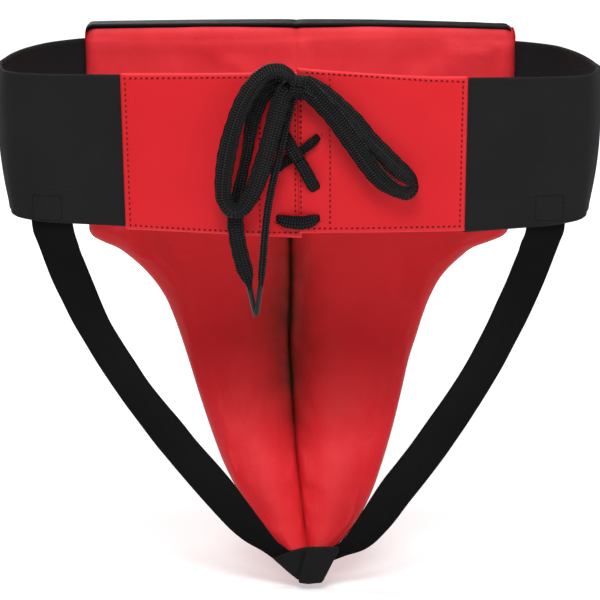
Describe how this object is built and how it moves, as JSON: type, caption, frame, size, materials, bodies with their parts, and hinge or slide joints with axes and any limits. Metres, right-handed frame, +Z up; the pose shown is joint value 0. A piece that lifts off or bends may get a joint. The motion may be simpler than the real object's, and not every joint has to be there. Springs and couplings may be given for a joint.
{
  "type": "groin protector",
  "caption": "Padded groin protector: red padded front guard with a hard cup inside, black elastic waistband with laced back panels, and elastic leg straps joined at a crotch tab.",
  "frame": {"origin": "middle of the waist opening, half way up the elastic waistband", "axes": "+Z up out of the waist opening, +Y towards the wearer's front where the padded guard is, -Y towards the laced back panels, +X towards the wearer's right as worn"},
  "size_m": [0.3178, 0.176, 0.2961],
  "materials": {
    "red_cover": "satin coated synthetic leather",
    "black_binding": "smooth woven tape",
    "foam": "closed-cell foam",
    "cup_shell": "moulded, matt",
    "cup_cushion": "soft matt rubber",
    "waist_elastic": "ribbed woven elastic",
    "strap_webbing": "plain woven elastic webbing",
    "canvas_core": "canvas",
    "lace_braid": "flat tubular braid",
    "aglet": "glossy heat-shrunk plastic"
  },
  "bodies": {
    "guard": {"inner_cover_left": "red_cover", "inner_cover_right": "red_cover", "outer_cover_left": "red_cover", "outer_cover_right": "red_cover", "lining_foam": "foam", "hard_cup": "cup_shell", "cup_rim_cushion": "cup_cushion", "foam_block_left": "foam", "foam_block_right": "foam", "top_binding": "black_binding", "waist_elastic_left": "waist_elastic", "waist_elastic_right": "waist_elastic", "leg_strap_left": "strap_webbing", "leg_strap_right": "strap_webbing", "crotch_tab": "black_binding"},
    "closure": {"lace_crossings": "lace_braid", "lace_knot": "lace_braid"},
    "panel_left": {"lace_panel_left": "red_cover", "panel_core_left": "canvas_core", "panel_lining_left": "red_cover"},
    "panel_right": {"lace_panel_right": "red_cover", "panel_core_right": "canvas_core", "panel_lining_right": "red_cover"},
    "bow_loop_left": {"bow_loop_left": "lace_braid"},
    "bow_loop_right": {"bow_loop_right": "lace_braid"},
    "lace_end_left": {"lace_end_left": "lace_braid", "aglet_left": "aglet"},
    "lace_end_right": {"lace_end_right": "lace_braid", "aglet_right": "aglet"}
  },
  "joints": [
    {"name": "waist_stretch", "type": "slide", "parent": "guard", "child": "closure", "axis": [0, -1, 0], "range_m": [0, 0.04], "stiffness_N_per_m": 200, "deforming": ["waist_elastic_left", "waist_elastic_right", "leg_strap_left", "leg_strap_right"]},
    {"name": "left_panel_ease", "type": "slide", "parent": "closure", "child": "panel_left", "axis": [-0.9973, 0.0735, 0], "range_m": [0, 0.012], "deforming": ["lace_crossings"]},
    {"name": "right_panel_ease", "type": "slide", "parent": "closure", "child": "panel_right", "axis": [0.9973, 0.0735, 0], "range_m": [0, 0.012], "deforming": ["lace_crossings"]},
    {"name": "bow_loop_left_lift", "type": "hinge", "parent": "closure", "child": "bow_loop_left", "pos_m": [-0.009, -0.0545, 0.044], "axis": [-1, 0, 0], "range_deg": [0, 70]},
    {"name": "bow_loop_right_lift", "type": "hinge", "parent": "closure", "child": "bow_loop_right", "pos_m": [0.008, -0.0545, 0.0415], "axis": [-1, 0, 0], "range_deg": [0, 70]},
    {"name": "lace_end_left_swing", "type": "hinge", "parent": "closure", "child": "lace_end_left", "pos_m": [-0.001, -0.0532, 0.034], "axis": [0, -1, 0], "range_deg": [-18, 18]},
    {"name": "lace_end_right_swing", "type": "hinge", "parent": "closure", "child": "lace_end_right", "pos_m": [-0.001, -0.0563, 0.034], "axis": [0, -1, 0], "range_deg": [-18, 18]}
  ],
  "couplings": [
    {"joint": "right_panel_ease", "follows": "left_panel_ease", "ratio": 1}
  ]
}
